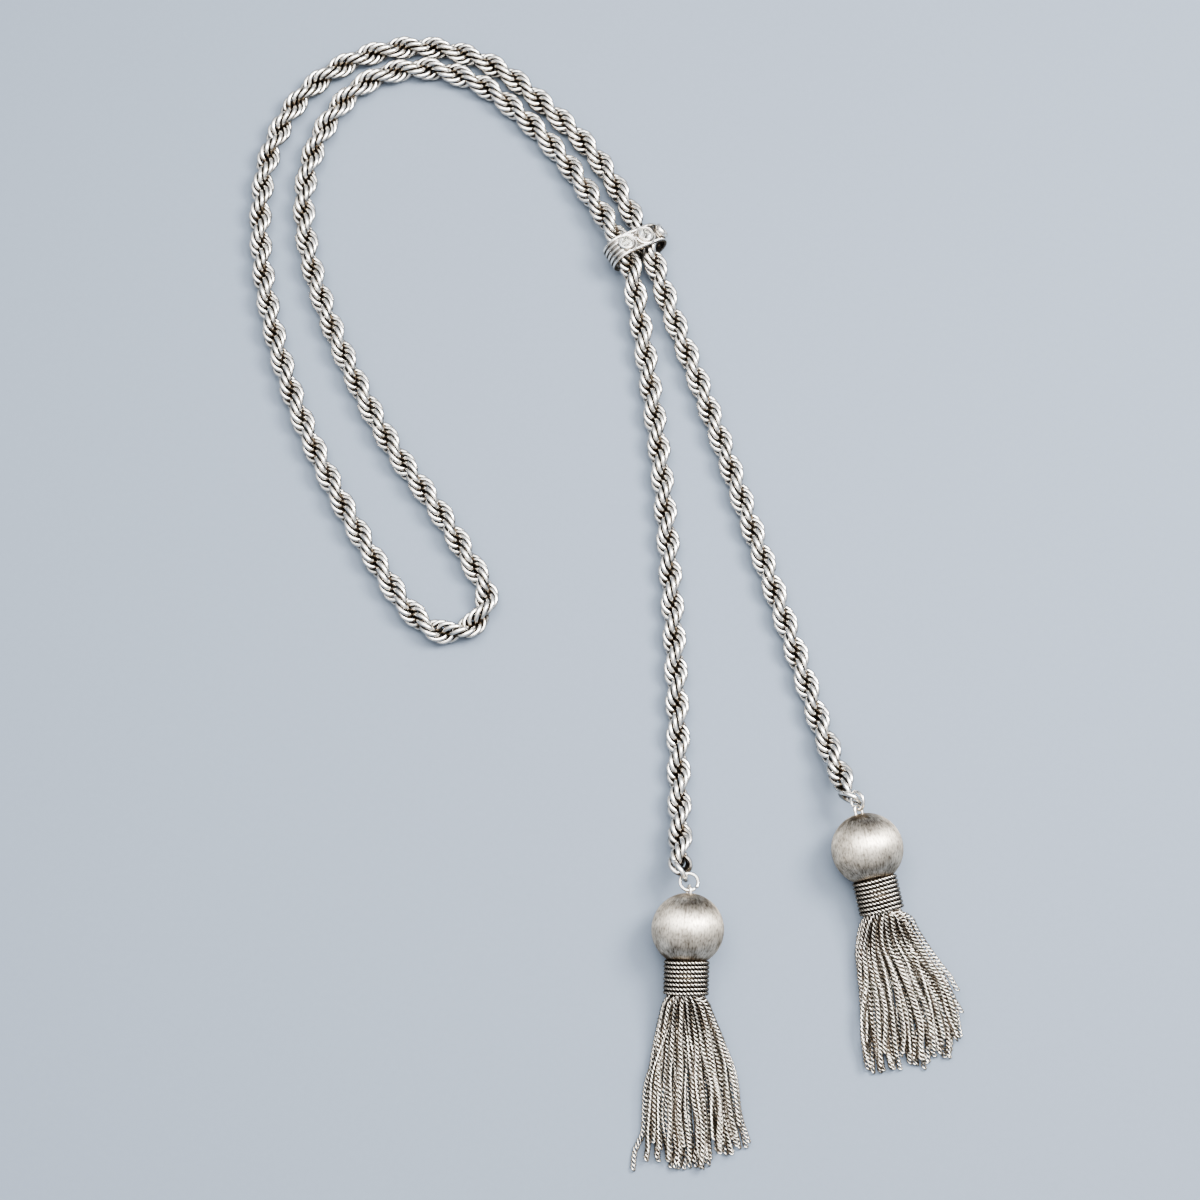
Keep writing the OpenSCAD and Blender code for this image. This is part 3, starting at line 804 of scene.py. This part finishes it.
def fringe_strands(side):
    """Paths and turns of all strands of one fringe."""
    shape = FRINGES[side]
    draw = random.Random(shape["seeds"][0])
    tip_row = 52
    uneven = 0.35
    paths = []
    tilts = []
    for layer, (count, _, _) in enumerate(LAYERS):
        for number in range(count):
            share = -1 + 2 * (number + 0.5) / count
            share += draw.uniform(-uneven, uneven) / count if 0 < number < count - 1 else 0
            edge = table_value(shape["left_edge"], tip_row) * (0.5 - share / 2)
            edge += table_value(shape["right_edge"], tip_row) * (0.5 + share / 2)
            # It ends at the outline of the tips or a little before, the upper layers sooner
            reach = table_value(shape["tips"], edge) - draw.uniform(0, 1.3 + 2.2 * layer)
            paths.append(strand_path(side, shape, draw, layer, share, number % 2, reach))
            # It turns to and fro about itself on the way, so its links catch the light unevenly
            roll, swing, phase = draw.gauss(0, 0.35), draw.uniform(0.1, 0.6), draw.uniform(0, math.tau)
            tilts.append([roll + swing * math.sin(phase + 0.35 * i) for i in range(len(paths[-1]))])
    for layer, share, line in STRAYS[side]:
        reach = line[-1][0]
        paths.append(strand_path(side, shape, draw, layer, share, 1, reach, line))
        tilts.append([0.2 * math.sin(0.3 * i) for i in range(len(paths[-1]))])
    return paths, tilts


class NECKLACE_OT_rope_chain(bpy.types.Operator):
    """Makes the whole rope chain from rings, with the last ring of each end"""
    bl_idname = "necklace.rope_chain"
    bl_label = "Rope chain"

    def execute(self, context):
        rope = context.scene.necklace_rope
        radius = rope.width / 2
        path = smooth_path([Vector(p) * MM for p in LEFT_ROUTE + RIGHT_ROUTE[::-1]], 12, lowest=radius)
        # The first and the last ring lie a little inside the ends of the route
        inset = 0.4 * MM
        path[0] = path[0] + (path[1] - path[0]).normalized() * inset
        path[-1] = path[-1] + (path[-2] - path[-1]).normalized() * inset
        # The rings divide the whole length evenly, and rounding doesn't lose the last one
        total = sum((b - a).length for a, b in zip(path, path[1:]))
        pitch = total / round(total / rope.pitch) * 0.9999
        segments, sides = 20, 7
        mesh = grow(curve_object("rope line", [path]), chain_tree(), {
            "Pitch": pitch, "Half Length": (rope.ring_length - rope.wire) / 2,
            "Half Width": radius - rope.wire / 2, "Wire Radius": rope.wire / 2, "Bend": rope.bend,
            "Turn": rope.turn, "First Turn": rope.first_turn,
            "Link Segments": segments, "Wire Sides": sides, "Material": plated(ROPE_WIRE)})
        ring_points = segments * sides
        typical_ring = 300
        mark_open(mesh, 1.6 * MM, typical_ring * ring_points, ring_points)
        bm = bmesh.new()
        take_over(bm, mesh)
        chain_points = len(bm.verts)
        for centre, heading in END_LINKS:
            upright = (Matrix.Translation(Vector(centre) * MM)
                       @ Matrix.Rotation(math.radians(heading), 4, "Z")
                       @ Matrix.Rotation(math.radians(90), 4, "X"))
            tube(bm, circle(upright, rope.end_ring / 2, 32), rope.wire / 2, 10, closed=True)
        rub_and_painted_light = bm.verts.layers.float["rub_and_painted_light"]
        for vert in list(bm.verts)[chain_points:]:
            vert[rub_and_painted_light] = 1
        put_piece("rope_chain", bm, plated(ROPE_WIRE), "rope_metal",
                  "rope_chain_left", "rope_chain_right", "end_link_left", "end_link_right")
        return {"FINISHED"}


class NECKLACE_OT_balls(bpy.types.Operator):
    """Makes the two brushed balls"""
    bl_idname = "necklace.balls"
    bl_label = "Balls"

    def execute(self, context):
        finish = context.scene.necklace_finish
        brushed = material(brushed_silver, "Brushed antiqued silver",
                           opaque(finish.brushed), opaque(finish.tarnish_and_painted_shade))
        # Painted light on the balls: a bright belt round the middle and shade towards the poles
        belt, painted_pole_shade = 0.45, 1.3
        for side in HEADINGS:
            radius = ball_radius(side)
            bm = bmesh.new()
            lathe(bm, pole_to_pole(radius, 56), along_tassel(side), 112)
            back = tassel_place(side).inverted()

            def painted_belt_light(point):
                """A painted highlight on a belt round the middle, and painted shade darker towards both
                poles.
                """
                return 1 - painted_pole_shade * max(0.0, abs((back @ point).y / radius) - belt)

            put_piece(f"brushed_ball_{side}", bm, brushed, "brushed_metal", f"ball_{side}", rub_and_painted_light=painted_belt_light)
        return {"FINISHED"}


class NECKLACE_OT_collars(bpy.types.Operator):
    """Makes the two collars from rows of twisted wire on a dark tube that is painted shade between the rows
    """
    bl_idname = "necklace.collars"
    bl_label = "Collars"

    def execute(self, context):
        tassel = context.scene.necklace_tassel
        # Distances from the ball's centre, and the radii of the wires' twist and of the tube
        first_row, last_row = 8.0 * MM, 15.34 * MM
        near, far = 7.8 * MM, 15.85 * MM
        wire, lay = 0.27 * MM, 0.24 * MM
        bore, skin = 4.45 * MM, 4.8 * MM
        middle = tassel.collar_width / 2 - wire - lay
        samples_per_twist = 10
        for side in HEADINGS:
            place = along_tassel(side)
            rows = []
            for row in range(tassel.collar_rows):
                height = first_row + (last_row - first_row) * row / (tassel.collar_rows - 1)
                rows.append(circle(place, middle, 96, height))
            mesh = grow(curve_object("collar rows", rows, closed=True), twisted_wire_tree(), {
                "Twists": float(tassel.collar_twists), "Wire Radius": wire, "Lay Radius": lay,
                "Samples": tassel.collar_twists * samples_per_twist, "Wire Sides": 6,
                "Material": plated(CHAIN)})
            row_points = len(mesh.vertices) // tassel.collar_rows
            typical_row = 3
            mark_open(mesh, 0.8 * MM, typical_row * row_points, row_points)
            bm = bmesh.new()
            take_over(bm, mesh)
            # The tube has no bright share, so it takes the dark dip colour between the wires as painted
            # shade
            lathe(bm, [(bore, near), (skin, near), (skin, far), (bore, far)], place, 64, closed=True)
            put_piece(f"twisted_collar_{side}", bm, plated(CHAIN), "fringe_metal", f"collar_{side}")
        return {"FINISHED"}


class NECKLACE_OT_fringes(bpy.types.Operator):
    """Makes the two fringes from strands of curb chain"""
    bl_idname = "necklace.fringes"
    bl_label = "Fringes"

    def execute(self, context):
        tassel = context.scene.necklace_tassel
        for side in HEADINGS:
            paths, tilts = fringe_strands(side)
            mesh = grow(curve_object("fringe lines", paths, tilts=tilts), chain_tree(), {
                "Pitch": tassel.link_pitch, "Half Length": tassel.link_length / 2,
                "Half Width": tassel.link_width / 2, "Wire Radius": tassel.link_wire / 2,
                "Bend": tassel.link_bend, "Slant": tassel.link_slant, "Shake": tassel.link_shake,
                "Seed": FRINGES[side]["seeds"][1],
                "Link Segments": 8, "Wire Sides": 5, "Material": plated(CHAIN)})
            mark_open(mesh, 1.2 * MM)
            put_piece(f"chain_fringe_{side}", mesh, plated(CHAIN), "fringe_metal", f"fringe_{side}")
        return {"FINISHED"}


class NECKLACE_OT_rings(bpy.types.Operator):
    """Makes the two open rings"""
    bl_idname = "necklace.rings"
    bl_label = "Open rings"

    def execute(self, context):
        tassel = context.scene.necklace_tassel
        radius = (tassel.ring_width + tassel.ring_wire) / 2
        opening, steps = 5, 48
        for side, (turn, drop, swing, seat, cut) in OPEN_RINGS.items():
            place = (tassel_place(side) @ Matrix.Rotation(math.radians(-turn), 4, "Y")
                     @ Matrix.Translation((0, seat * MM, 0)) @ Matrix.Rotation(math.radians(-swing), 4, "Z")
                     @ Matrix.Rotation(math.radians(-drop), 4, "X") @ Matrix.Translation((0, radius, 0)))
            bm = bmesh.new()
            path = arc(place, radius, cut + opening, cut + 360 - opening, steps)
            tube(bm, path, tassel.ring_wire / 2, 12)
            put_piece(f"open_ring_{side}", bm, plated(POLISHED), "slide_metal", f"jump_ring_{side}",
                      rub_and_painted_light=lambda point: 1.0)
        return {"FINISHED"}


def slide_place():
    """Matrix of the slide's frame: Y along the ropes, Z out of the front."""
    return (Matrix.Translation(Vector(SLIDE_AT) * MM) @ Matrix.Rotation(math.radians(SLIDE_YAW), 4, "Z")
            @ Matrix.Rotation(math.radians(SLIDE_ROLL), 4, "Y"))


def band_point(half_flat, radius, turn):
    """Point (across, out) on the band's outline: turn 0 is the middle of the front, and it
    rises to 1 round the right end to the back and the left end to the front again."""
    flat, bend = 2 * half_flat, math.pi * radius
    at = (turn % 1) * (2 * flat + 2 * bend) - flat / 2
    if at < 0:
        return at + half_flat, radius
    if at < bend:
        return half_flat + radius * math.sin(at / radius), radius * math.cos(at / radius)
    if at < bend + flat:
        return half_flat - (at - bend), -radius
    if at < 2 * bend + flat:
        turned = (at - bend - flat) / radius
        return -half_flat - radius * math.sin(turned), -radius * math.cos(turned)
    return -half_flat + at - 2 * bend - flat, radius


def band_path(place, half_flat, radius, y, begin, end, steps):
    """Points round the band at one place along it, between two turns."""
    path = []
    for k in range(steps + 1):
        x, z = band_point(half_flat, radius, begin + (end - begin) * k / steps)
        path.append(place @ Vector((x, y, z)))
    return path


def band_sheet(bm, place, half_flat, radius, wall, half):
    """The band itself: a rounded wall profile led round its outline."""
    bore = radius - wall
    edge = 0.08 * MM
    profile = [(bore, -half + edge), (bore + edge, -half), (radius - edge, -half), (radius, -half + edge),
               (radius, half - edge), (radius - edge, half), (bore + edge, half), (bore, half - edge)]
    outside, inside = 3, 7
    around = 120
    rings = []
    for k in range(around):
        x, z = band_point(half_flat, radius, k / around)
        core = max(-half_flat, min(half_flat, x))
        out = Vector((x - core, 0, z)).normalized()
        rings.append([bm.verts.new(place @ (Vector((x, y, z)) + out * (at - radius))) for at, y in profile])
    for k in range(around):
        a, b = rings[k], rings[(k + 1) % around]
        for i in range(len(profile)):
            j = (i + 1) % len(profile)
            bm.faces.new((a[i], a[j], b[j], b[i])).smooth = i in (outside, inside)


def bezel(bm, setting, outer):
    """A stone's cup: an open tube with a ledge inside for the stone."""
    bore, seat = 1.8 * MM, 1.35 * MM
    top, ledge, foot = 1.3 * MM, 0.4 * MM, -0.3 * MM
    lathe(bm, [(seat, foot), (outer, foot), (outer, top - 0.12 * MM), (outer - 0.1 * MM, top),
               (bore + 0.06 * MM, top), (bore, top - 0.08 * MM), (bore, ledge), (seat, ledge)],
          setting, 40, closed=True)


class NECKLACE_OT_slide(bpy.types.Operator):
    """Makes the ribbed slide with its three stone settings"""
    bl_idname = "necklace.slide"
    bl_label = "Slide"

    def execute(self, context):
        slide = context.scene.necklace_slide
        place = slide_place()
        radius = (slide.height - slide.wire) / 2
        half_flat = (slide.width - slide.height) / 2
        bm = bmesh.new()
        band_sheet(bm, place, half_flat, radius, slide.wall, slide.length / 2)
        self.rims_and_ribs(bm, place, half_flat, radius, slide)
        front = place @ Matrix.Translation((0, 0, radius))
        for distance, lean in STONES.values():
            setting = (place @ Matrix.Translation((distance * MM, 0, 0))
                       @ Matrix.Rotation(math.radians(lean), 4, "Y") @ Matrix.Translation((0, 0, radius)))
            bezel(bm, setting, slide.bezel / 2)
        for centre, bow, begin, end, rise in FRONT_WIRES:
            path = arc(front @ Matrix.Translation((centre * MM, 0, rise * MM)), bow * MM, begin, end, 24)
            tube(bm, path, FRONT_WIRE_RADIUS * MM, 8)
        for x, y, size in GRAINS:
            seat = front @ Matrix.Translation((x * MM, y * MM, size * MM * 0.7))
            lathe(bm, pole_to_pole(size * MM, 6), seat, 10)
        back = place.inverted()
        # Grooves between the wires get the dip colour, partly as painted shade
        groove, rub_and_shade_depth, bore_shine = 0.12 * MM, 0.45 * MM, 0.4

        def rub_and_painted_light(point):
            """Even in the bore, and outside it brighter the further a point stands out, so the grooves are
            darker partly from the dip and partly as painted shade.
            """
            local = back @ point
            core = max(-half_flat, min(half_flat, local.x))
            out = math.hypot(local.x - core, local.z)
            if out < radius - slide.wall / 2:
                return bore_shine
            return (out - radius + groove) / rub_and_shade_depth

        put_piece("ribbed_slide", bm, plated(POLISHED), "slide_metal", "slide", rub_and_painted_light=rub_and_painted_light)
        return {"FINISHED"}

    @staticmethod
    def rims_and_ribs(bm, place, half_flat, radius, slide):
        """Wires round the band: a plain upper rim, three ribs and a lower rim round the left
        end and the back, and a twisted lower rim over the front and the right end."""
        rim_y = (slide.length - slide.wire) / 2
        # Share of the way round the band, from the middle of the front
        whole = 4 * half_flat + math.tau * radius
        short_of_middle = (half_flat - 1 * MM) / whole
        left_start, left_end = 1 - short_of_middle, 0.5 + short_of_middle
        thick = slide.wire / 2
        tube(bm, band_path(place, half_flat, radius, rim_y, 0, 1, 120)[:-1], thick, 10, closed=True)
        for y in (-rim_y / 2, 0, rim_y / 2):
            tube(bm, band_path(place, half_flat, radius, y, left_end, left_start, 60), thick, 10)
        tube(bm, band_path(place, half_flat, radius, -rim_y, 0.5, left_start, 60), thick, 10)
        lower = band_path(place, half_flat, radius, -rim_y, -0.06, 0.5, 80)
        take_over(bm, grow(curve_object("lower rim", [lower]), twisted_wire_tree(), {
            "Twists": 13.0, "Wire Radius": 0.23 * MM, "Lay Radius": 0.2 * MM, "Samples": 130,
            "Wire Sides": 6, "Material": plated(POLISHED)}))


class NECKLACE_OT_finishes(bpy.types.Operator):
    """Gives the eyes and the stones their finishes"""
    bl_idname = "necklace.finishes"
    bl_label = "Eyes and stones"

    def execute(self, context):
        finish = context.scene.necklace_finish
        glass = material(cut_glass, GLASS)
        wire = material(drawn_silver, "Drawn silver wire", opaque(finish.plate), opaque(finish.brushed))
        for name in STONES:
            self.dress(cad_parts[name], glass, "clear_stone")
        for side in HEADINGS:
            self.dress(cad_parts[f"eye_{side}"], wire, "slide_metal")
        return {"FINISHED"}

    @staticmethod
    def dress(node, finish, slot):
        """Gives a node its finish. The slot is not used."""
        node.data.materials.clear()
        node.data.materials.append(finish)


class NECKLACE_OT_stage(bpy.types.Operator):
    """Makes the floor, the lights and the camera"""
    bl_idname = "necklace.stage"
    bl_label = "Stage"

    def execute(self, context):
        stage = context.scene.necklace_stage
        bm = bmesh.new()
        bmesh.ops.create_grid(bm, x_segments=1, y_segments=1, size=FLOOR_HALF)
        mesh = bpy.data.meshes.new("floor")
        bm.to_mesh(mesh)
        bm.free()
        mesh.materials.append(material(pale_card, "Matt blue-grey card", opaque(stage.floor)))
        floor = bpy.data.objects.new("floor", mesh)
        context.scene.collection.objects.link(floor)

        lens = bpy.data.cameras.new("camera")
        lens.lens = CAMERA_LENS
        lens.sensor_width = CAMERA_SENSOR
        lens.clip_start = 0.01
        lens.clip_end = 20
        camera = bpy.data.objects.new("camera", lens)
        camera.location = Vector(CAMERA_AT) * MM
        aim = (Vector(CAMERA_AIM) - Vector(CAMERA_AT)) * MM
        camera.rotation_euler = aim.to_track_quat("-Z", "Y").to_euler()
        context.scene.collection.objects.link(camera)
        context.scene.camera = camera

        for name, (place, size) in LAMPS.items():
            self.lamp(context, name, place, size, stage.power)
        self.sky(context)
        return {"FINISHED"}

    @staticmethod
    def lamp(context, name, place, size, power):
        """A soft rectangular light that shines at the middle of the floor."""
        data = bpy.data.lights.new(name, "AREA")
        data.shape = "RECTANGLE"
        data.size, data.size_y = size
        data.energy = power
        lamp = bpy.data.objects.new(name, data)
        lamp.location = place
        lamp.rotation_euler = (-Vector(place)).to_track_quat("-Z", "Y").to_euler()
        context.scene.collection.objects.link(lamp)

    @staticmethod
    def sky(context):
        """A bright sky overhead and a dark horizon, so the wires have dark sides."""
        world = bpy.data.worlds.new("studio")
        world.use_nodes = True
        context.scene.world = world
        tree = world.node_tree
        tree.nodes.clear()
        way = add(tree, "ShaderNodeSeparateXYZ", {0: add(tree, "ShaderNodeTexCoord").outputs["Generated"]})
        rise = add(tree, "ShaderNodeMapRange",
                   {"Value": way.outputs["Z"], "From Min": 0.1, "From Max": 0.85,
                    "To Min": 0.2, "To Max": 1.9}, interpolation_type="SMOOTHSTEP")
        glow = add(tree, "ShaderNodeBackground", {"Color": opaque(linear("F2F5FA")), "Strength": rise})
        add(tree, "ShaderNodeOutputWorld", {"Surface": glow})


class NECKLACE_PT_panel(bpy.types.Panel):
    """Sizes, colours and pieces of the necklace"""
    bl_idname = "NECKLACE_PT_panel"
    bl_label = "Tassel Necklace"
    bl_space_type = "VIEW_3D"
    bl_region_type = "UI"
    bl_category = "Necklace"

    def draw(self, context):
        layout = self.layout
        for label, group in SETTINGS.items():
            settings = getattr(context.scene, label)
            box = layout.box()
            for name in group.__annotations__:
                box.prop(settings, name)
        for operator in OPERATORS:
            layout.operator(operator.bl_idname)


SETTINGS = {
    "necklace_rope": RopeSettings,
    "necklace_tassel": TasselSettings,
    "necklace_slide": SlideSettings,
    "necklace_finish": FinishSettings,
    "necklace_stage": StageSettings,
}
OPERATORS = [
    NECKLACE_OT_stage,
    NECKLACE_OT_rope_chain,
    NECKLACE_OT_rings,
    NECKLACE_OT_balls,
    NECKLACE_OT_collars,
    NECKLACE_OT_fringes,
    NECKLACE_OT_slide,
    NECKLACE_OT_finishes,
]


def register():
    """Registers the settings, the operators and the panel."""
    for group in SETTINGS.values():
        bpy.utils.register_class(group)
    for label, group in SETTINGS.items():
        setattr(bpy.types.Scene, label, bpy.props.PointerProperty(type=group))
    for operator in OPERATORS:
        bpy.utils.register_class(operator)
    bpy.utils.register_class(NECKLACE_PT_panel)


def unregister():
    """Takes back all that register does."""
    bpy.utils.unregister_class(NECKLACE_PT_panel)
    for operator in reversed(OPERATORS):
        bpy.utils.unregister_class(operator)
    for label in SETTINGS:
        delattr(bpy.types.Scene, label)
    for group in reversed(SETTINGS.values()):
        bpy.utils.unregister_class(group)


def main():
    """Makes every piece and the stage."""
    register()
    bpy.ops.necklace.stage()
    bpy.ops.necklace.rope_chain()
    bpy.ops.necklace.rings()
    bpy.ops.necklace.balls()
    bpy.ops.necklace.collars()
    bpy.ops.necklace.fringes()
    bpy.ops.necklace.slide()
    bpy.ops.necklace.finishes()


if __name__ == "__main__":
    main()
